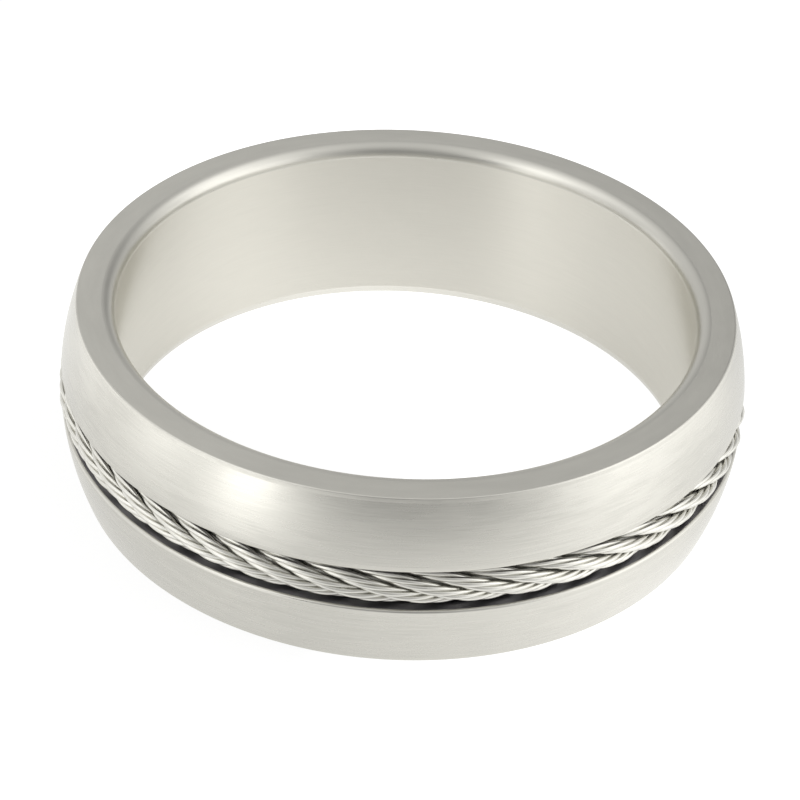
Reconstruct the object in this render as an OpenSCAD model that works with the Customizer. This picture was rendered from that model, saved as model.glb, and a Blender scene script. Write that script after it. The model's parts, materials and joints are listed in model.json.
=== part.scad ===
// Rope twist ring: a domed band with a wire cable of twisted strands laid in a groove round its middle.
// The ring lies on its side. +Z is its axis, and the origin is the middle of its underside.
// In a section of the band or the cable, x is the distance from the ring's axis and y is the height.

/* [Band] */
// Inside diameter, where the finger goes
bore_d = 19.8; // [15:0.1:23]
// Width of the band, from one edge face to the other
band_w = 6.6; // [4.5:0.1:9]
// Wall at the flat edge faces
edge_wall = 1.3; // [1:0.05:1.6]
// Wall at the crown of the dome, before the groove is cut
crown_wall = 1.9; // [1.8:0.05:3]
// Radius between the bore and each edge face
bore_round = 0.45; // [0.1:0.05:0.7]
// Radius of the groove's two lips
lip_round = 0.1; // [0.05:0.05:0.4]

/* [Cable] */
// Diameter of the cable over its strands
cable_d = 1.45; // [1:0.05:1.5]
// Height of the cable's outermost line over the crown
cable_rise = 0.08; // [0:0.01:0.1]
// Number of strands laid round the core
strands = 6; // [5:1:8]
// Turns that a strand makes round the core on its way round the ring
lay_turns = 7; // [5:1:9]
// Place of the first strand in the cable's section, at the ring's +X side
lay_start = 21; // [0:1:359]

/* [Clearances] */
// Between the cable and the groove's walls and floor
cable_gap = 0.05; // [0.05:0.01:0.2]
// Between neighbouring strands, and between the strands and the core
strand_gap = 0.05; // [0.03:0.01:0.1]

/* [Facets] */
// Sides of a strand's section
strand_sides = 10; // [8:1:12]
// Sections along one turn of a strand
sections_per_turn = 16; // [12:1:18]

/* [Hidden] */

// Facets of the band's circles on screen
band_facets = 180;
small_facets = 48;

// The band's section: a disc for the dome, trimmed by the bore and the edge faces
bore_r = bore_d / 2;
crown_r = bore_r + crown_wall;
half_w = band_w / 2;
dome_rise = crown_wall - edge_wall;
dome_r = (half_w * half_w + dome_rise * dome_rise) / (2 * dome_rise);
dome_x = crown_r - dome_r;

// The cable's round path and the groove that follows it
cable_r = cable_d / 2;
path_r = crown_r + cable_rise - cable_r;
groove_r = cable_r + cable_gap;

// A lip's rounding touches the groove's wall and the dome
lip_y = groove_r + lip_round;
lip_x = dome_x + sqrt((dome_r - lip_round) * (dome_r - lip_round) - lip_y * lip_y);
lip_top = lip_y * dome_r / (dome_r - lip_round);

// The strands' lay: the lay angle brings neighbours closer than their places in a straight section
strand_half_angle = 180 / strands;
lay_tilt = atan(lay_turns * cable_r / (1 + sin(strand_half_angle)) / path_r);
half_spacing = sin(strand_half_angle) * cos(lay_tilt);
strand_r = (cable_r * half_spacing - strand_gap / 2) / (1 + half_spacing);
strand_path_r = cable_r - strand_r;
core_r = strand_path_r - strand_r - strand_gap;

// Corner that a rounding of radius r takes off at the origin, for material towards +X and -Y
module rounding_cut(r) {
    difference() {
        translate([-r, -r]) square(2 * r);
        translate([r, -r]) circle(r, $fn = small_facets);
    }
}

// What rounds the groove's upper lip
module lip_cut() {
    difference() {
        translate([lip_x, 0]) square([crown_wall, lip_top]);
        translate([lip_x, lip_y]) circle(lip_round, $fn = small_facets);
    }
}

// The dome's disc between the bore and the edge faces, less the groove and the roundings
module band_section() {
    difference() {
        intersection() {
            translate([dome_x, 0]) circle(dome_r, $fn = 2 * band_facets);
            translate([bore_r, -half_w]) square([2 * crown_wall, band_w]);
        }
        translate([path_r, 0]) circle(groove_r, $fn = small_facets);
        translate([path_r, -groove_r]) square([crown_wall, 2 * groove_r]);
        for (side = [0, 1]) mirror([0, side]) {
            translate([bore_r, half_w]) rounding_cut(bore_round);
            lip_cut();
        }
    }
}

module band() {
    color("silver")
        translate([0, 0, half_w])
        rotate_extrude($fn = band_facets)
        band_section();
}

module cable_core() {
    color("gray")
        translate([0, 0, half_w])
        rotate_extrude($fn = band_facets)
        translate([path_r, 0])
        circle(core_r, $fn = small_facets);
}

// Directions at an azimuth round the ring: away from its axis, and along the cable
function outward(azimuth) = [cos(azimuth), sin(azimuth), 0];
function along(azimuth) = [-sin(azimuth), cos(azimuth), 0];

// Direction in the cable's section at an angle that starts outward and turns upward
function in_section(azimuth, angle) = cos(angle) * outward(azimuth) + [0, 0, sin(angle)];

// A strand's place in the section. A right-hand lay goes down on the outside as the azimuth grows.
function strand_angle(i, azimuth) = lay_start + 360 / strands * (i - 1) - lay_turns * azimuth;

// Middle line of strand i
function strand_middle(i, azimuth) =
    path_r * outward(azimuth)
    + strand_path_r * in_section(azimuth, strand_angle(i, azimuth))
    + [0, 0, half_w];

// Direction of strand i: its way along the path and its way round the core
function strand_direction(i, azimuth) =
    let (angle = strand_angle(i, azimuth))
    let (forward = (path_r + strand_path_r * cos(angle)) * along(azimuth))
    let (round = -lay_turns * strand_path_r * in_section(azimuth, angle + 90))
    (forward + round) / norm(forward + round);

// One section of strand i, square to its direction
function strand_ring(i, azimuth) =
    let (middle = strand_middle(i, azimuth))
    let (first = in_section(azimuth, strand_angle(i, azimuth)))
    let (second = cross(strand_direction(i, azimuth), first))
    [
        for (side = [0:strand_sides - 1])
            let (turn = 360 * side / strand_sides)
            middle + strand_r * (cos(turn) * first + sin(turn) * second)
    ];

// Two triangles for each side between neighbouring sections of a closed tube
function closed_tube_faces(sections, sides) = [
    for (k = [0:sections - 1], j = [0:sides - 1])
        let (here = k * sides, there = (k + 1) % sections * sides, next = (j + 1) % sides)
        each [
            [here + j, there + next, here + next],
            [here + j, there + j, there + next]
        ]
];

module strand(i) {
    sections = lay_turns * sections_per_turn;
    points = [for (k = [0:sections - 1]) each strand_ring(i, 360 * k / sections)];
    color("lightgray")
        polyhedron(points, closed_tube_faces(sections, strand_sides), convexity = 10);
}

band();
cable_core();
for (i = [1:strands])
    strand(i);
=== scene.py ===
"""Looks of the rope twist ring: a domed band with a twisted wire cable in a groove round its middle.

The ring lies on its side. +Z is its axis, the origin is the middle of its underside and -Y faces the
camera. Lengths are in metres and angles in radians. The sizes repeat those of the ring's solids.
"""

import json
import math
from types import SimpleNamespace

import bmesh
import bpy
from mathutils import Matrix, Vector


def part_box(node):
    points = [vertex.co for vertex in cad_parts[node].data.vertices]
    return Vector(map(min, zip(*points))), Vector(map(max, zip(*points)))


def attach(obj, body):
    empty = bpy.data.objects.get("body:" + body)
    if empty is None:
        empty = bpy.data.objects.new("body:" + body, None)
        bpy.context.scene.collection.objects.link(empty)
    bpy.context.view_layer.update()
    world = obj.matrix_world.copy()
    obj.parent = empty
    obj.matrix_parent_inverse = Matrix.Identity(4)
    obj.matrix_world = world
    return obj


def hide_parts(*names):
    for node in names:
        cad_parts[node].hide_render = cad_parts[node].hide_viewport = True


bl_info = {
    "name": "Rope Twist Ring",
    "version": (1, 0, 0),
    "blender": (4, 5, 0),
    "location": "3D View > Sidebar > Ring",
    "description": "Makes a rope twist ring's band, wire cable and stage on its packed solids",
    "category": "Object",
}

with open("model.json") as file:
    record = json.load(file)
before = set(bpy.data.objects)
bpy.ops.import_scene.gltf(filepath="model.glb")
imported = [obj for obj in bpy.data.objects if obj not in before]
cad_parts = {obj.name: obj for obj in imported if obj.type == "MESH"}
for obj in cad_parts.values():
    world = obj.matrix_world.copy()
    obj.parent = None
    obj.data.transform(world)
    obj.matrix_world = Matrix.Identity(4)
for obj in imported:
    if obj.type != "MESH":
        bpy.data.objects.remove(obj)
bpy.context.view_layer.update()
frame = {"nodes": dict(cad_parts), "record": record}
MM = 0.001
STRAND_NODES = sorted(name for name in frame["nodes"] if name.startswith("strand_"))

# Finishes of the band's surfaces, in the order of their numbers on the section's points
FINISHES = ("dome", "edge_face", "bore_edge", "narrow_edge", "bore", "groove")

# Segments of the band round the ring, and steps along each curved stretch of its section
RING_SEGMENTS = 384
BORE_EDGE_STEPS = 14
RIM_STEPS = 6
DOME_STEPS = 22
LIP_STEPS = 10
GROOVE_STEPS = 12
# Places of the points on a straight stretch, as shares of its length
STRAIGHT_SHARES = (0, 0.02, 0.1, 0.35, 0.65, 0.9, 0.98, 1)
# Points of neighbouring stretches that are closer than this become one
MERGE_DISTANCE = 0.0005 * MM

# Points along a wire and sides of its section
WIRE_POINTS = 420
WIRE_SIDES = 8

# Contrast of the brushing, and how much the roughness varies with it
DOME_CONTRAST = 0.09
BORE_CONTRAST = 0.025
BORE_EDGE_CONTRAST = 0.03
ROUGHNESS_PER_CONTRAST = 0.4
# How far the brushing of the bore's edges stretches reflections
BORE_EDGE_BRUSHING = 0.8
# Part of a full turn that stretches reflections across the brushing
BRUSHING_TURN = 0.25
NARROW_EDGE_ROUGHNESS = 0.3
GROOVE_ROUGHNESS = 0.4
# The core's wire beside that of the strands: how bright it is, darkened as painted shade between the
# strands, and how much rougher it is
CORE_PAINTED_SHADE = 0.8
CORE_ADDED_ROUGHNESS = 0.1

# Distance from the ring's axis at which patterns have their true length round the ring
PATTERN_RADIUS = 0.0115
# Limits that the values of a Noise Texture stay between
NOISE_LOW = 0.3
NOISE_HIGH = 0.7

# Numbers of the inputs that take numbers in a Mix node, and whole numbers in a Compare node
MIX_FACTOR = 0
MIX_FIRST = 2
MIX_SECOND = 3
COMPARE_FIRST = 2
COMPARE_SECOND = 3

WHITE = (1.0, 1.0, 1.0, 1.0)
FLOOR_ROUGHNESS = 0.9
FLOOR_SPECULAR = 0.1
# The floor is a hair lower than the ring's underside
FLOOR_HEIGHT = -0.002 * MM

# Light of the tent and of the floor near the ring where no patch changes it, and the tent's least light
TENT_LIGHT = 0.81
TENT_DARKEST = 0.1
FLOOR_LIGHT = 1.05
# What the floor near the ring reflects, which its glow leaves out
FLOOR_REFLECTED = 0.17
# Distances from the ring's axis between which the floor's light becomes that of the tent's foot
FLOOR_BLEND_START = 14.0 * MM
FLOOR_BLEND_END = 52.0 * MM

# Patches of light, and flags that take light away: name, bearing and height angle of the middle
# in degrees, sharpness, and the light added or taken away. Their numbers, the tent's light and the
# softboxes' radiance come from a least-squares fit to the photograph's shades. They are rounded,
# a few are changed, and the names were added afterwards.
TENT_PATCHES = (
    ("lamp_high_left", -143, 41, 24, 1.45),
    ("lamp_low_left", -135, -5, 48, 1.20),
    ("glow_front_left", -125, -5, 21, 1.20),
    ("glow_left", -163, -4, 43, 1.30),
    ("glow_back_left", 164, -2, 32, 1.05),
    ("soft_light_high_left", 172, 54, 13, 0.60),
    ("glow_right", -15, 6, 10, 1.00),
    ("glow_low_right", 14, -2, 45, 0.80),
    ("soft_light_high_right", -8, 52, 11, 0.40),
    ("lamp_high_right", 22, 50, 29, 0.90),
    ("glow_back_right", 66, -2, 30, 0.25),
    ("flag_low_right", 41, -2, 63, -0.30),
    ("flag_back_right", 72, 28, 19, -0.50),
    ("flag_front", -82, 28, 7, -0.50),
    ("flag_front_left", -120, 16, 27, -0.80),
)
FLOOR_PATCHES = (
    ("floor_behind", 105, 0, 3, 0.55),
    ("floor_right", -49, 0, 3, 0.25),
    ("floor_front_right", -42, 0, 21, 0.15),
    ("floor_left", -148, 0, 4, -0.20),
)

# Softboxes: name, bearing and height angle of the middle in degrees, width, height and radiance
SOFTBOXES = (
    ("softbox_left", -135.0, 12.0, 0.12, 0.20, 0.49),
    ("softbox_right", -18.0, 26.0, 0.36, 0.30, 0.44),
)
SOFTBOX_DISTANCE = 0.42

# Width of the camera's sensor in millimetres, and the distances between which it sees
SENSOR_WIDTH = 36.0
NEAREST_SEEN = 1.0 * MM
FARTHEST_SEEN = 10.0


# Settings


def recorded_bore_radius():
    """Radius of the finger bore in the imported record."""
    for mount in frame["record"]["mounts"]:
        if mount["name"] == "finger_bore":
            return mount["dims"]["r_mm"] * MM
    raise ValueError("the record has no mount named finger_bore")


def band_box_width():
    """Width of the band's solid, along the ring's axis."""
    lowest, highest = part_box("band")
    return highest.z - lowest.z


def length_setting(name, description, default):
    """A length that a user can change."""
    return bpy.props.FloatProperty(
        name=name,
        description=description,
        default=default,
        min=0.0,
        precision=5,
        subtype="DISTANCE",
        unit="LENGTH",
    )


def angle_setting(name, description, degrees):
    """An angle that a user can change, with its default in degrees."""
    return bpy.props.FloatProperty(
        name=name,
        description=description,
        default=math.radians(degrees),
        subtype="ANGLE",
        unit="ROTATION",
    )


def colour_setting(name, description, default):
    """A colour that a user can change."""
    return bpy.props.FloatVectorProperty(
        name=name, description=description, default=default, min=0.0, max=1.0, size=3, subtype="COLOR"
    )


def share_setting(name, description, default):
    """A value between 0 and 1 that a user can change."""
    return bpy.props.FloatProperty(
        name=name, description=description, default=default, min=0.0, max=1.0, subtype="FACTOR"
    )


def count_setting(name, description, default, least):
    """A whole number that a user can change."""
    return bpy.props.IntProperty(name=name, description=description, default=default, min=least)


class BandSettings(bpy.types.PropertyGroup):
    """Sizes and finishes of the band."""

    bore_diameter: length_setting(
        "Bore Diameter", "Inside diameter of the ring", 2 * recorded_bore_radius()
    )
    width: length_setting(
        "Width", "Width of the band, from one edge face to the other", band_box_width()
    )
    edge_wall: length_setting("Edge Wall", "Wall at the flat edge faces", 1.3 * MM)
    crown_wall: length_setting(
        "Crown Wall", "Wall at the crown of the dome, before the groove", 1.9 * MM
    )
    bore_rounding: length_setting(
        "Bore Rounding", "Radius between the bore and each edge face", 0.45 * MM
    )
    lip_rounding: length_setting("Lip Rounding", "Radius of the groove's two lips", 0.1 * MM)
    rim_rounding: length_setting("Rim Rounding", "Radius between the dome and each edge face", 0.06 * MM)
    cable_clearance: length_setting("Cable Clearance", "Gap between the cable and the groove", 0.05 * MM)
    steel_colour: colour_setting("Steel Colour", "Colour of the band's steel", (0.583, 0.572, 0.524))
    # The bore's colour is the band's steel made lighter, as painted light
    bore_painted_light_colour: colour_setting(
        "Bore Colour", "Colour of the bore's brighter steel", (0.648, 0.632, 0.572)
    )
    # The groove's dark colour is painted shade under the cable
    groove_painted_shade_colour: colour_setting(
        "Groove Colour", "Colour of the dark steel in the groove", (0.26, 0.254, 0.275)
    )
    dome_roughness: share_setting("Dome Roughness", "Roughness of the satin dome", 0.27)
    dome_brushing: share_setting(
        "Dome Brushing", "How far the dome's brushing stretches reflections", 0.9
    )
    bore_roughness: share_setting("Bore Roughness", "Roughness of the brushed bore", 0.38)
    bore_brushing: share_setting(
        "Bore Brushing", "How far the bore's brushing stretches reflections", 0.97
    )
    bore_edge_roughness: share_setting(
        "Bore Edge Roughness", "Roughness of the bore's rounded edges", 0.3
    )
    edge_roughness: share_setting("Edge Roughness", "Roughness of the matte edge faces", 0.42)


class CableSettings(bpy.types.PropertyGroup):
    """Sizes and finish of the wire cable."""

    diameter: length_setting("Diameter", "Diameter of the cable over its strands", 1.45 * MM)
    rise: length_setting("Rise", "Height of the cable's outermost line over the dome's crown", 0.08 * MM)
    strand_gap: length_setting("Strand Gap", "Gap between neighbouring strands", 0.05 * MM)
    lay_turns: count_setting(
        "Lay Turns", "Turns of a strand round the core on its way round the ring", 7, 1
    )
    lay_start: angle_setting(
        "Lay Start", "Place of the first strand in the cable's section at the ring's +X side", 21
    )
    wire_sink: length_setting(
        "Wire Sink", "How much deeper than its solid a strand's wires lie", 0.013 * MM
    )
    wire_press: length_setting(
        "Wire Press", "How far a strand's wires are pressed into each other", 0.01 * MM
    )
    wires: count_setting("Wires", "Wires laid round the middle wire of each strand", 5, 3)
    wire_turns: count_setting(
        "Wire Turns", "Turns of a wire in its strand on its way round the ring", 27, 1
    )
    wire_colour: colour_setting("Wire Colour", "Colour of the bright wire", (0.695, 0.685, 0.635))
    wire_roughness: share_setting("Wire Roughness", "Roughness of the bright wire", 0.32)


class StageSettings(bpy.types.PropertyGroup):
    """Floor and camera."""

    floor_colour: colour_setting(
        "Floor Colour", "Colour of the floor's frosted top", (0.15, 0.15, 0.149)
    )
    floor_width: length_setting("Floor Width", "Side of the square floor", 1.6)
    camera_elevation: angle_setting(
        "Camera Elevation", "Height angle of the camera's line of sight above the floor", 35.86
    )
    camera_roll: angle_setting("Camera Roll", "Turn of the camera about its own line of sight", 3.02)
    camera_distance: length_setting(
        "Camera Distance", "Distance of the ring's centre, along the line of sight", 96.0 * MM
    )
    ring_right: length_setting(
        "Ring Right", "How far the ring's centre is right of the line of sight", 0.10 * MM
    )
    ring_up: length_setting(
        "Ring Up", "How far the ring's centre is above the line of sight", 0.86 * MM
    )
    lens: bpy.props.FloatProperty(
        name="Lens", description="Focal length of the camera in millimetres", default=124.35, min=1.0
    )


# Shape of the ring


def ring_shape(band, cable):
    """Radii and places that the band and the cable share, from their settings."""
    shape = SimpleNamespace()
    shape.bore_r = band.bore_diameter / 2
    shape.crown_r = shape.bore_r + band.crown_wall
    shape.half_width = band.width / 2
    rise = band.crown_wall - band.edge_wall
    shape.dome_r = (shape.half_width**2 + rise**2) / (2 * rise)
    shape.dome_x = shape.crown_r - shape.dome_r
    shape.cable_r = cable.diameter / 2
    shape.path_r = shape.crown_r + cable.rise - shape.cable_r
    shape.groove_r = shape.cable_r + band.cable_clearance
    return shape


def half_spacing(count, turns, radius, path_r):
    """Half the gap between neighbours laid round a middle, where the circle through them has radius 1.

    Their lay brings them closer than their places in a straight section.
    """
    half_angle = math.pi / count
    tilt = math.atan(turns * radius / (1 + math.sin(half_angle)) / path_r)
    return math.sin(half_angle) * math.cos(tilt)


def strand_shape(shape, cable):
    """Radii of a strand, of its path round the core and of its wires."""
    strand = SimpleNamespace()
    spacing = half_spacing(len(STRAND_NODES), cable.lay_turns, shape.cable_r, shape.path_r)
    strand.radius = (shape.cable_r * spacing - cable.strand_gap / 2) / (1 + spacing)
    strand.path_r = shape.cable_r - strand.radius - cable.wire_sink
    spacing = half_spacing(cable.wires, cable.wire_turns, strand.radius, shape.path_r)
    strand.wire_r = strand.radius * spacing / (1 + spacing) + cable.wire_press
    strand.wire_path_r = strand.radius - strand.wire_r
    return strand


def arc(centre, radius, start, end, steps):
    """Points of an arc in the section, with its angles in radians from outward to upward."""
    points = []
    for step in range(steps + 1):
        angle = start + (end - start) * step / steps
        points.append((centre[0] + radius * math.cos(angle), centre[1] + radius * math.sin(angle)))
    return points


def straight(start, end):
    """Points of a straight stretch, close together at its ends so that its shading stays flat."""
    way_x = end[0] - start[0]
    way_y = end[1] - start[1]
    return [(start[0] + way_x * share, start[1] + way_y * share) for share in STRAIGHT_SHARES]


def upper_section(shape, band):
    """Stretches of the band's section above its middle, from bore to groove, each with its finish."""
    quarter = math.pi / 2
    bore_round = band.bore_rounding
    bore_top = shape.half_width - bore_round
    face_x = shape.bore_r + bore_round

    rim = band.rim_rounding
    rim_y = shape.half_width - rim
    rim_x = shape.dome_x + math.sqrt((shape.dome_r - rim) ** 2 - rim_y**2)
    rim_angle = math.atan2(rim_y, rim_x - shape.dome_x)

    lip = band.lip_rounding
    lip_y = shape.groove_r + lip
    lip_x = shape.dome_x + math.sqrt((shape.dome_r - lip) ** 2 - lip_y**2)
    lip_angle = math.atan2(lip_y, lip_x - shape.dome_x)

    return [
        ("bore", straight((shape.bore_r, 0), (shape.bore_r, bore_top))),
        ("bore_edge", arc((face_x, bore_top), bore_round, math.pi, quarter, BORE_EDGE_STEPS)),
        ("edge_face", straight((face_x, shape.half_width), (rim_x, shape.half_width))),
        ("narrow_edge", arc((rim_x, rim_y), rim, quarter, rim_angle, RIM_STEPS)),
        ("dome", arc((shape.dome_x, 0), shape.dome_r, rim_angle, lip_angle, DOME_STEPS)),
        ("narrow_edge", arc((lip_x, lip_y), lip, lip_angle, -quarter, LIP_STEPS)),
        ("groove", straight((lip_x, shape.groove_r), (shape.path_r, shape.groove_r))),
        ("groove", arc((shape.path_r, 0), shape.groove_r, quarter, math.pi, GROOVE_STEPS)),
    ]


def section_mesh(shape, band):
    """The band's section as chains of edges about the cable's path, one chain for each stretch."""
    points = []
    edges = []
    finishes = []
    for side in (1, -1):
        for finish, stretch in upper_section(shape, band):
            first = len(points)
            points += [(x - shape.path_r, side * y, 0.0) for x, y in stretch]
            edges += [(first + step, first + step + 1) for step in range(len(stretch) - 1)]
            finishes += [FINISHES.index(finish)] * len(stretch)
    mesh = bpy.data.meshes.new("band_section")
    mesh.from_pydata(points, edges, [])
    mesh.attributes.new("finish", "INT", "POINT").data.foreach_set("value", finishes)
    return mesh


# Node trees


def add_node(tree, kind, inputs=None, **settings):
    """Adds a node. Each input, named or numbered, gets a value or a link from a socket."""
    node = tree.nodes.new(kind)
    for name, value in settings.items():
        setattr(node, name, value)
    for name, value in (inputs or {}).items():
        if isinstance(value, bpy.types.NodeSocket):
            tree.links.new(value, node.inputs[name])
        else:
            node.inputs[name].default_value = value
    return node


def maths(tree, operation, first, second=0.0):
    """Output of a Math node."""
    return add_node(tree, "ShaderNodeMath", {0: first, 1: second}, operation=operation).outputs[0]


def vectors(tree, operation, first, second):
    """Output of a Vector Math node with two vectors."""
    node = add_node(tree, "ShaderNodeVectorMath", {0: first, 1: second}, operation=operation)
    return node.outputs["Vector"]


def scaled(tree, vector, factor):
    """A vector times a number."""
    node = add_node(tree, "ShaderNodeVectorMath", {0: vector, "Scale": factor}, operation="SCALE")
    return node.outputs["Vector"]


def direction_of(tree, vector):
    """A vector of length 1 in the direction of another."""
    return add_node(tree, "ShaderNodeVectorMath", {0: vector}, operation="NORMALIZE").outputs["Vector"]


def length_of(tree, vector):
    """The length of a vector."""
    return add_node(tree, "ShaderNodeVectorMath", {0: vector}, operation="LENGTH").outputs["Value"]


def combined(tree, x, y, z):
    """A vector from its three parts."""
    return add_node(tree, "ShaderNodeCombineXYZ", {"X": x, "Y": y, "Z": z}).outputs["Vector"]


def from_axis(tree, place):
    """The level way from the ring's axis to a place."""
    return vectors(tree, "MULTIPLY", place, (1.0, 1.0, 0.0))


def circle_curve(tree, points, radius=1.0):
    """A round curve."""
    inputs = {"Resolution": points, "Radius": radius}
    return add_node(tree, "GeometryNodeCurvePrimitiveCircle", inputs).outputs["Curve"]


def swept_mesh(tree, path, section):
    """The mesh that a section makes on its way along a path."""
    inputs = {"Curve": path, "Profile Curve": section}
    return add_node(tree, "GeometryNodeCurveToMesh", inputs).outputs["Mesh"]


def smooth_and_real(tree, geometry):
    """Geometry with smooth shading and with its instances made real."""
    smooth = add_node(tree, "GeometryNodeSetShadeSmooth", {"Geometry": geometry}).outputs["Geometry"]
    return add_node(tree, "GeometryNodeRealizeInstances", {"Geometry": smooth}).outputs["Geometry"]


def shape_tree(name, inputs, takes_geometry):
    """A new geometry node tree with named inputs. Returns it with its group's inputs and outputs."""
    tree = bpy.data.node_groups.new(name, "GeometryNodeTree")
    tree.is_modifier = True
    tree.interface.new_socket("Geometry", in_out="OUTPUT", socket_type="NodeSocketGeometry")
    if takes_geometry:
        tree.interface.new_socket("Geometry", in_out="INPUT", socket_type="NodeSocketGeometry")
    for label, kind in inputs:
        tree.interface.new_socket(label, in_out="INPUT", socket_type="NodeSocket" + kind)
    return tree, tree.nodes.new("NodeGroupInput").outputs, tree.nodes.new("NodeGroupOutput").inputs


def piece_from_tree(name, base, tree, values):
    """Runs a tree on a base mesh with the given input values. Returns the result as a plain mesh."""
    source = bpy.data.objects.new(name + "_source", base)
    bpy.context.scene.collection.objects.link(source)
    modifier = source.modifiers.new("Shape", "NODES")
    modifier.node_group = tree
    for socket in tree.interface.items_tree:
        if socket.in_out == "INPUT" and socket.name in values:
            modifier[socket.identifier] = values[socket.name]
    depsgraph = bpy.context.evaluated_depsgraph_get()
    mesh = bpy.data.meshes.new_from_object(source.evaluated_get(depsgraph), depsgraph=depsgraph)
    bpy.data.objects.remove(source)
    if not mesh.polygons:
        raise RuntimeError(f"the tree of {name} made no faces")
    mesh.name = name
    piece = bpy.data.objects.new(name, mesh)
    bpy.context.scene.collection.objects.link(piece)
    return piece


def turn_faces_outward(piece):
    """Points the faces of a closed mesh outward."""
    work = bmesh.new()
    work.from_mesh(piece.data)
    bmesh.ops.recalc_face_normals(work, faces=work.faces)
    work.to_mesh(piece.data)
    work.free()


def revolve_tree():
    """A tree that carries the band's section round the ring and gives each stretch its material."""
    inputs = [("Ring Radius", "Float"), ("Segments", "Int")]
    inputs += [(finish, "Material") for finish in FINISHES]
    tree, given, result = shape_tree("Band Round The Ring", inputs, True)
    section = add_node(tree, "GeometryNodeMeshToCurve", {"Mesh": given["Geometry"]}).outputs["Curve"]
    swept = swept_mesh(tree, circle_curve(tree, given["Segments"], given["Ring Radius"]), section)
    merging = {"Geometry": swept, "Distance": MERGE_DISTANCE}
    joined = add_node(tree, "GeometryNodeMergeByDistance", merging).outputs["Geometry"]
    shown = smooth_and_real(tree, joined)
    named = add_node(tree, "GeometryNodeInputNamedAttribute", {"Name": "finish"}, data_type="INT")
    for number, finish in enumerate(FINISHES):
        chosen = add_node(tree, "FunctionNodeCompare", data_type="INT", operation="EQUAL")
        tree.links.new(named.outputs["Attribute"], chosen.inputs[COMPARE_FIRST])
        chosen.inputs[COMPARE_SECOND].default_value = number
        shown = add_node(
            tree,
            "GeometryNodeSetMaterial",
            {"Geometry": shown, "Selection": chosen.outputs["Result"], "Material": given[finish]},
        ).outputs["Geometry"]
    tree.links.new(shown, result["Geometry"])
    return tree


def strand_tree():
    """A tree that lays the wires of one strand round the strand's own path."""
    inputs = [
        ("Path Radius", "Float"),
        ("Path Height", "Float"),
        ("Strand Path Radius", "Float"),
        ("Strand Start", "Float"),
        ("Lay Turns", "Float"),
        ("Wire Path Radius", "Float"),
        ("Wire Radius", "Float"),
        ("Wire Turns", "Float"),
        ("Wires", "Int"),
        ("Points", "Int"),
        ("Sides", "Int"),
        ("Wire Material", "Material"),
    ]
    tree, given, result = shape_tree("Wires Of A Strand", inputs, False)

    # One closed path for each wire, the last of them for the middle wire
    copying = {
        "Geometry": circle_curve(tree, given["Points"]),
        "Amount": maths(tree, "ADD", given["Wires"], 1.0),
    }
    wires = add_node(tree, "GeometryNodeDuplicateElements", copying, domain="SPLINE")

    # Angles of the strand round the core and of the wire round the strand
    point = add_node(tree, "GeometryNodeSplineParameter").outputs["Index"]
    azimuth = maths(tree, "MULTIPLY", maths(tree, "DIVIDE", point, given["Points"]), math.tau)
    strand_turned = maths(tree, "MULTIPLY", given["Lay Turns"], azimuth)
    strand_angle = maths(tree, "SUBTRACT", given["Strand Start"], strand_turned)
    wire_number = wires.outputs["Duplicate Index"]
    wire_place = maths(tree, "MULTIPLY", maths(tree, "DIVIDE", wire_number, given["Wires"]), math.tau)
    wire_turned = maths(tree, "MULTIPLY", given["Wire Turns"], azimuth)
    wire_angle = maths(tree, "SUBTRACT", wire_place, wire_turned)

    # Directions in the cable's section and along the strand
    outward = combined(tree, maths(tree, "COSINE", azimuth), maths(tree, "SINE", azimuth), 0.0)
    along = vectors(tree, "CROSS_PRODUCT", (0.0, 0.0, 1.0), outward)
    strand_cosine = maths(tree, "COSINE", strand_angle)
    strand_sine = maths(tree, "SINE", strand_angle)
    strand_height = combined(tree, 0.0, 0.0, strand_sine)
    first = vectors(tree, "ADD", scaled(tree, outward, strand_cosine), strand_height)
    quarter_height = combined(tree, 0.0, 0.0, strand_cosine)
    quarter_on = vectors(tree, "SUBTRACT", quarter_height, scaled(tree, outward, strand_sine))
    strand_offset = maths(tree, "MULTIPLY", given["Strand Path Radius"], strand_cosine)
    forward = scaled(tree, along, maths(tree, "ADD", given["Path Radius"], strand_offset))
    sideways = maths(tree, "MULTIPLY", given["Lay Turns"], given["Strand Path Radius"])
    travel = vectors(tree, "SUBTRACT", forward, scaled(tree, quarter_on, sideways))
    second = vectors(tree, "CROSS_PRODUCT", direction_of(tree, travel), first)

    # Place of the strand's middle line and of the wire about it
    path_height = combined(tree, 0.0, 0.0, given["Path Height"])
    middle = vectors(tree, "ADD", scaled(tree, outward, given["Path Radius"]), path_height)
    middle = vectors(tree, "ADD", middle, scaled(tree, first, given["Strand Path Radius"]))
    is_outer = maths(tree, "LESS_THAN", wire_number, given["Wires"])
    wire_offset = maths(tree, "MULTIPLY", given["Wire Path Radius"], is_outer)
    across = vectors(
        tree,
        "ADD",
        scaled(tree, first, maths(tree, "COSINE", wire_angle)),
        scaled(tree, second, maths(tree, "SINE", wire_angle)),
    )
    laying = {
        "Geometry": wires.outputs["Geometry"],
        "Position": vectors(tree, "ADD", middle, scaled(tree, across, wire_offset)),
    }
    laid = add_node(tree, "GeometryNodeSetPosition", laying).outputs["Geometry"]

    section = circle_curve(tree, given["Sides"], given["Wire Radius"])
    shown = smooth_and_real(tree, swept_mesh(tree, laid, section))
    finishing = {"Geometry": shown, "Material": given["Wire Material"]}
    finished = add_node(tree, "GeometryNodeSetMaterial", finishing).outputs["Geometry"]
    tree.links.new(finished, result["Geometry"])
    return tree


# Light


def towards(bearing, rise):
    """Direction with a bearing from +X and a height angle, both in degrees."""
    bearing = math.radians(bearing)
    rise = math.radians(rise)
    level = math.cos(rise)
    return Vector((math.cos(bearing) * level, math.sin(bearing) * level, math.sin(rise)))


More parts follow.
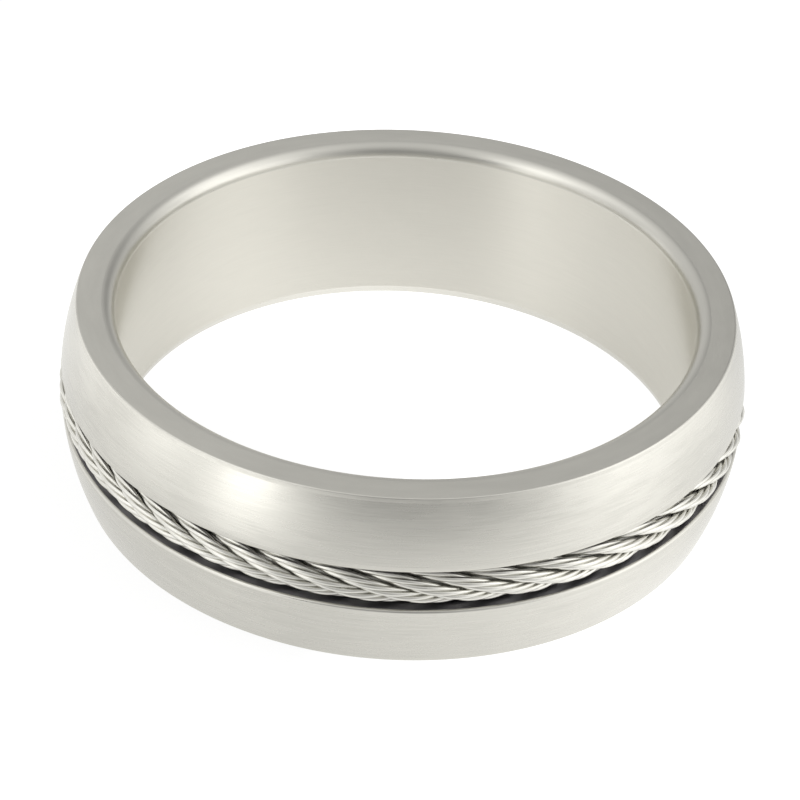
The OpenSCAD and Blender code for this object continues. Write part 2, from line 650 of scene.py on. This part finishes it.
def light_of_patches(tree, heading, even_light, patches, darkest):
    """Light from a direction: an even light with soft patches that add to it or take from it."""
    light = even_light
    for name, bearing, rise, sharpness, strength in patches:
        directions = {0: heading, 1: towards(bearing, rise)}
        dot = add_node(tree, "ShaderNodeVectorMath", directions, operation="DOT_PRODUCT", label=name)
        from_middle = maths(tree, "SUBTRACT", dot.outputs["Value"], 1.0)
        falloff = maths(tree, "MULTIPLY", from_middle, sharpness)
        patch = maths(tree, "MULTIPLY", maths(tree, "EXPONENT", falloff), strength)
        light = maths(tree, "ADD", patch, light)
    return maths(tree, "MAXIMUM", light, darkest)


# Materials


def steel_material(name, colour, roughness, brushing=0.0):
    """A bare metal. Returns the material with its tree and its surface shader."""
    material = bpy.data.materials.new(name)
    material.use_nodes = True
    tree = material.node_tree
    shader = tree.nodes["Principled BSDF"]
    shader.inputs["Base Color"].default_value = (*colour, 1.0)
    shader.inputs["Metallic"].default_value = 1.0
    shader.inputs["Roughness"].default_value = roughness
    if brushing:
        shader.inputs["Anisotropic"].default_value = brushing
        shader.inputs["Anisotropic Rotation"].default_value = BRUSHING_TURN
        tangent = add_node(tree, "ShaderNodeTangent", direction_type="RADIAL", axis="Z")
        tree.links.new(tangent.outputs["Tangent"], shader.inputs["Tangent"])
    return material, tree, shader


def round_the_ring(tree, length, width, flat=False):
    """Coordinates whose unit is a given length round the ring and a given width across it."""
    place = add_node(tree, "ShaderNodeTexCoord").outputs["Object"]
    level = from_axis(tree, place)
    around = scaled(tree, direction_of(tree, level), PATTERN_RADIUS / length)
    if flat:
        across = length_of(tree, level)
    else:
        across = add_node(tree, "ShaderNodeSeparateXYZ", {"Vector": place}).outputs["Z"]
    return vectors(tree, "ADD", around, combined(tree, 0.0, 0.0, maths(tree, "DIVIDE", across, width)))


def noise(tree, coordinates, detail, roughness=0.55, scale=1.0):
    """Value of a Noise Texture node."""
    inputs = {"Vector": coordinates, "Scale": scale, "Detail": detail, "Roughness": roughness}
    return add_node(tree, "ShaderNodeTexNoise", inputs).outputs["Fac"]


def spread(tree, pattern, low, high):
    """A noise pattern with its values spread over another range."""
    inputs = {
        "Value": pattern,
        "From Min": NOISE_LOW,
        "From Max": NOISE_HIGH,
        "To Min": low,
        "To Max": high,
    }
    return add_node(tree, "ShaderNodeMapRange", inputs).outputs["Result"]


def eased(tree, value, start, end):
    """A number that eases from 0 to 1 between two limits of a value."""
    inputs = {"Value": value, "From Min": start, "From Max": end}
    node = add_node(tree, "ShaderNodeMapRange", inputs, interpolation_type="SMOOTHSTEP")
    return node.outputs["Result"]


def vary_colour(tree, shader, pattern, colour, darkest, lightest):
    """Multiplies a surface's colour by factors that follow a noise pattern."""
    factor = spread(tree, pattern, darkest, lightest)
    tree.links.new(scaled(tree, tuple(colour), factor), shader.inputs["Base Color"])


def vary_roughness(tree, shader, pattern, roughness, smoother, rougher):
    """Makes a surface smoother and rougher by a noise pattern."""
    varied = spread(tree, pattern, roughness - smoother, roughness + rougher)
    tree.links.new(varied, shader.inputs["Roughness"])


def add_bump(tree, shader, pattern, depth):
    """Raises a surface by a pattern of the given depth."""
    bump = add_node(tree, "ShaderNodeBump", {"Height": pattern, "Strength": 1.0, "Distance": depth})
    tree.links.new(bump.outputs["Normal"], shader.inputs["Normal"])


def brushed_steel(name, colour, roughness, brushing, contrast):
    """Satin steel with fine brushing round the ring and soft streaks where the belt lingered."""
    material, tree, shader = steel_material(name, colour, roughness, brushing)
    hairs = noise(tree, round_the_ring(tree, length=1.6 * MM, width=0.035 * MM), detail=2.0)
    streaks = noise(tree, round_the_ring(tree, length=1.5 * MM, width=0.3 * MM), detail=3.0)
    mean = maths(tree, "MULTIPLY", maths(tree, "ADD", hairs, streaks), 0.5)
    change = ROUGHNESS_PER_CONTRAST * contrast
    vary_colour(tree, shader, mean, colour, darkest=1.0 - contrast, lightest=1.0 + contrast)
    vary_roughness(tree, shader, streaks, roughness, smoother=change, rougher=change)
    add_bump(tree, shader, hairs, depth=0.0012 * MM)
    return material


def ground_steel(name, colour, roughness):
    """Matte steel of the flat edge faces, with a fine even grain."""
    material, tree, shader = steel_material(name, colour, roughness)
    grain = noise(tree, round_the_ring(tree, length=0.25 * MM, width=0.05 * MM, flat=True), detail=3.0)
    clouds = noise(tree, round_the_ring(tree, length=2.5 * MM, width=0.5 * MM, flat=True), detail=2.0)
    vary_colour(tree, shader, clouds, colour, darkest=0.96, lightest=1.03)
    vary_roughness(tree, shader, grain, roughness, smoother=0.04, rougher=0.04)
    add_bump(tree, shader, grain, depth=0.0015 * MM)
    return material


def narrow_edge_steel(name, colour, roughness):
    """Satin steel of the rims and the groove's lips, with faint wear along them."""
    material, tree, shader = steel_material(name, colour, roughness)
    wear = noise(tree, round_the_ring(tree, length=1.2 * MM, width=0.08 * MM), detail=3.0)
    vary_colour(tree, shader, wear, colour, darkest=0.97, lightest=1.03)
    vary_roughness(tree, shader, wear, roughness, smoother=0.03, rougher=0.05)
    add_bump(tree, shader, wear, depth=0.0006 * MM)
    return material


def turned_steel(name, colour, roughness):
    """Dull steel in the groove, with the fine lines that the cutter left. Its dark colour is painted
    shade under the cable.
    """
    material, tree, shader = steel_material(name, colour, roughness)
    lines = noise(tree, round_the_ring(tree, length=4.0 * MM, width=0.04 * MM), detail=2.0)
    vary_colour(tree, shader, lines, colour, darkest=0.8, lightest=1.15)
    vary_roughness(tree, shader, lines, roughness, smoother=0.05, rougher=0.08)
    add_bump(tree, shader, lines, depth=0.002 * MM)
    return material


def drawn_wire(name, colour, roughness):
    """Bright drawn wire with faint streaks along it and slightly duller patches."""
    material, tree, shader = steel_material(name, colour, roughness)
    streaks = noise(tree, round_the_ring(tree, length=0.9 * MM, width=0.03 * MM), detail=2.0)
    patches = noise(tree, round_the_ring(tree, length=1.5 * MM, width=0.4 * MM), detail=2.0)
    vary_colour(tree, shader, patches, colour, darkest=0.93, lightest=1.03)
    vary_roughness(tree, shader, streaks, roughness, smoother=0.05, rougher=0.08)
    add_bump(tree, shader, streaks, depth=0.001 * MM)
    return material


def light_table(name, colour):
    """Matte pale top of a light table, with a faint tooth.

    It glows white near the ring, and far out as the tent does at its foot.
    """
    material = bpy.data.materials.new(name)
    material.use_nodes = True
    tree = material.node_tree
    shader = tree.nodes["Principled BSDF"]
    shader.inputs["Roughness"].default_value = FLOOR_ROUGHNESS
    shader.inputs["Specular IOR Level"].default_value = FLOOR_SPECULAR
    shader.inputs["Emission Color"].default_value = WHITE
    place = add_node(tree, "ShaderNodeTexCoord").outputs["Object"]
    tooth = noise(tree, place, detail=3.0, roughness=0.6, scale=900.0)
    vary_colour(tree, shader, tooth, colour, darkest=0.995, lightest=1.005)
    add_bump(tree, shader, tooth, depth=0.01 * MM)

    level = from_axis(tree, place)
    heading = direction_of(tree, level)
    near = light_of_patches(tree, heading, FLOOR_LIGHT, FLOOR_PATCHES, FLOOR_LIGHT)
    far = light_of_patches(tree, heading, TENT_LIGHT, TENT_PATCHES, TENT_DARKEST)
    out = eased(tree, length_of(tree, level), FLOOR_BLEND_START, FLOOR_BLEND_END)
    mixing = {MIX_FACTOR: out, MIX_FIRST: near, MIX_SECOND: far}
    seen = add_node(tree, "ShaderNodeMix", mixing).outputs[0]
    glow = maths(tree, "MAXIMUM", maths(tree, "SUBTRACT", seen, FLOOR_REFLECTED), 0.0)
    tree.links.new(glow, shader.inputs["Emission Strength"])
    return material


# Stage


def add_floor(stage):
    """A square floor just under the ring."""
    side = stage.floor_width / 2
    corners = [(-side, -side), (side, -side), (side, side), (-side, side)]
    mesh = bpy.data.meshes.new("floor")
    mesh.from_pydata([(x, y, FLOOR_HEIGHT) for x, y in corners], [], [(0, 1, 2, 3)])
    mesh.materials.append(light_table("light_table", tuple(stage.floor_colour)))
    floor = bpy.data.objects.new("floor", mesh)
    bpy.context.scene.collection.objects.link(floor)


def add_light_tent():
    """Soft light from a white tent round the ring, with brighter and darker patches."""
    world = bpy.data.worlds.new("light_tent")
    world.use_nodes = True
    bpy.context.scene.world = world
    tree = world.node_tree
    heading = add_node(tree, "ShaderNodeTexCoord").outputs["Generated"]
    light = light_of_patches(tree, heading, TENT_LIGHT, TENT_PATCHES, TENT_DARKEST)
    tree.links.new(light, tree.nodes["Background"].inputs["Strength"])
    tree.nodes["Background"].inputs["Color"].default_value = WHITE


def add_softboxes():
    """Large soft lights on the left and the right of the ring, facing it."""
    for name, bearing, rise, width, height, radiance in SOFTBOXES:
        light = bpy.data.lights.new(name, "AREA")
        light.shape = "RECTANGLE"
        light.size = width
        light.size_y = height
        light.energy = radiance * math.pi * width * height
        lamp = bpy.data.objects.new(name, light)
        away = towards(bearing, rise)
        lamp.location = SOFTBOX_DISTANCE * away
        lamp.rotation_euler = away.to_track_quat("Z", "Y").to_euler()
        lamp.visible_camera = False
        bpy.context.scene.collection.objects.link(lamp)


def add_camera(stage, shape):
    """The camera at the photograph's angle."""
    elevation = stage.camera_elevation
    roll = stage.camera_roll
    level = Vector((1.0, 0.0, 0.0))
    back = Vector((0.0, -math.cos(elevation), math.sin(elevation)))
    upright = back.cross(level)
    right = math.cos(roll) * level + math.sin(roll) * upright
    up = -math.sin(roll) * level + math.cos(roll) * upright
    centre = Vector((0.0, 0.0, shape.half_width))
    place = centre + stage.camera_distance * back - stage.ring_right * right - stage.ring_up * up
    data = bpy.data.cameras.new("camera")
    data.lens = stage.lens
    data.sensor_width = SENSOR_WIDTH
    data.clip_start = NEAREST_SEEN
    data.clip_end = FARTHEST_SEEN
    camera = bpy.data.objects.new("camera", data)
    camera.matrix_world = Matrix.Translation(place) @ Matrix((right, up, back)).transposed().to_4x4()
    bpy.context.scene.collection.objects.link(camera)
    bpy.context.scene.camera = camera


# Operators and panel


class RING_OT_band(bpy.types.Operator):
    """Make the domed band with its groove, which stands for the band's solid"""

    bl_idname = "ring.band"
    bl_label = "Band"

    def execute(self, context):
        band = context.scene.ring_band
        shape = ring_shape(band, context.scene.ring_cable)
        steel = tuple(band.steel_colour)
        bore_steel_painted_light = tuple(band.bore_painted_light_colour)
        groove_steel_painted_shade = tuple(band.groove_painted_shade_colour)
        values = {
            "Ring Radius": shape.path_r,
            "Segments": RING_SEGMENTS,
            "dome": brushed_steel(
                "satin_dome", steel, band.dome_roughness, band.dome_brushing, DOME_CONTRAST
            ),
            "edge_face": ground_steel("ground_edge_faces", steel, band.edge_roughness),
            "bore_edge": brushed_steel(
                "soft_bore_edges",
                steel,
                band.bore_edge_roughness,
                BORE_EDGE_BRUSHING,
                BORE_EDGE_CONTRAST,
            ),
            "narrow_edge": narrow_edge_steel("satin_rims_and_lips", steel, NARROW_EDGE_ROUGHNESS),
            # The bore's lighter colour is painted light
            "bore": brushed_steel(
                "brushed_bore_painted_light", bore_steel_painted_light, band.bore_roughness, band.bore_brushing, BORE_CONTRAST
            ),
            # The groove's dark colour is painted shade under the cable
            "groove": turned_steel("painted_shade_groove", groove_steel_painted_shade, GROOVE_ROUGHNESS),
        }
        piece = piece_from_tree("ring_band", section_mesh(shape, band), revolve_tree(), values)
        piece.data.transform(Matrix.Translation((0, 0, shape.half_width)))
        turn_faces_outward(piece)
        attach(piece, "root")
        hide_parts("band")
        return {"FINISHED"}


class RING_OT_strands(bpy.types.Operator):
    """Make the cable's strands from fine wires, each strand standing for its own solid"""

    bl_idname = "ring.strands"
    bl_label = "Wire Strands"

    def execute(self, context):
        cable = context.scene.ring_cable
        shape = ring_shape(context.scene.ring_band, cable)
        strand = strand_shape(shape, cable)
        wire = drawn_wire("bright_drawn_wire", tuple(cable.wire_colour), cable.wire_roughness)
        tree = strand_tree()
        for number, node in enumerate(STRAND_NODES):
            values = {
                "Path Radius": shape.path_r,
                "Path Height": shape.half_width,
                "Strand Path Radius": strand.path_r,
                "Strand Start": cable.lay_start + math.tau * number / len(STRAND_NODES),
                "Lay Turns": float(cable.lay_turns),
                "Wire Path Radius": strand.wire_path_r,
                "Wire Radius": strand.wire_r,
                "Wire Turns": float(cable.wire_turns),
                "Wires": cable.wires,
                "Points": WIRE_POINTS,
                "Sides": WIRE_SIDES,
                "Wire Material": wire,
            }
            base = bpy.data.meshes.new(node + "_base")
            piece = piece_from_tree("wires_" + node, base, tree, values)
            turn_faces_outward(piece)
            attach(piece, "root")
            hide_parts(node)
        return {"FINISHED"}


class RING_OT_core(bpy.types.Operator):
    """Give the cable's core, which keeps its own solid, the finish of drawn wire, darkened as painted
    shade
    """

    bl_idname = "ring.core"
    bl_label = "Cable Core"

    def execute(self, context):
        cable = context.scene.ring_cable
        # The core's darker colour is painted shade between the strands
        colour = tuple(CORE_PAINTED_SHADE * part for part in cable.wire_colour)
        wire = drawn_wire("core_wire_painted_shade", colour, cable.wire_roughness + CORE_ADDED_ROUGHNESS)
        core = frame["nodes"]["cable_core"]
        core.data.materials.clear()
        core.data.materials.append(wire)
        return {"FINISHED"}


class RING_OT_stage(bpy.types.Operator):
    """Make the pale floor, the soft studio light and the camera"""

    bl_idname = "ring.stage"
    bl_label = "Stage"

    def execute(self, context):
        stage = context.scene.ring_stage
        add_floor(stage)
        add_light_tent()
        add_softboxes()
        add_camera(stage, ring_shape(context.scene.ring_band, context.scene.ring_cable))
        context.scene.view_settings.view_transform = "Standard"
        return {"FINISHED"}


class RING_PT_pieces(bpy.types.Panel):
    """Sizes, finishes and makers of the ring's pieces"""

    bl_idname = "RING_PT_pieces"
    bl_label = "Rope Twist Ring"
    bl_space_type = "VIEW_3D"
    bl_region_type = "UI"
    bl_category = "Ring"

    def draw(self, context):
        scene = context.scene
        groups = (
            (scene.ring_band, ("ring.band",)),
            (scene.ring_cable, ("ring.strands", "ring.core")),
            (scene.ring_stage, ("ring.stage",)),
        )
        for settings, makers in groups:
            box = self.layout.box()
            for name in settings.__annotations__:
                box.prop(settings, name)
            for maker in makers:
                box.operator(maker)


CLASSES = (
    BandSettings,
    CableSettings,
    StageSettings,
    RING_OT_band,
    RING_OT_strands,
    RING_OT_core,
    RING_OT_stage,
    RING_PT_pieces,
)


def register():
    """Registers the classes and puts the settings on the scene."""
    for item in CLASSES:
        bpy.utils.register_class(item)
    bpy.types.Scene.ring_band = bpy.props.PointerProperty(type=BandSettings)
    bpy.types.Scene.ring_cable = bpy.props.PointerProperty(type=CableSettings)
    bpy.types.Scene.ring_stage = bpy.props.PointerProperty(type=StageSettings)


def unregister():
    """Takes the settings off the scene and unregisters the classes."""
    del bpy.types.Scene.ring_stage
    del bpy.types.Scene.ring_cable
    del bpy.types.Scene.ring_band
    for item in reversed(CLASSES):
        bpy.utils.unregister_class(item)


def main():
    """Makes every piece and the stage."""
    register()
    bpy.ops.ring.band()
    bpy.ops.ring.strands()
    bpy.ops.ring.core()
    bpy.ops.ring.stage()


if __name__ == "__main__":
    main()
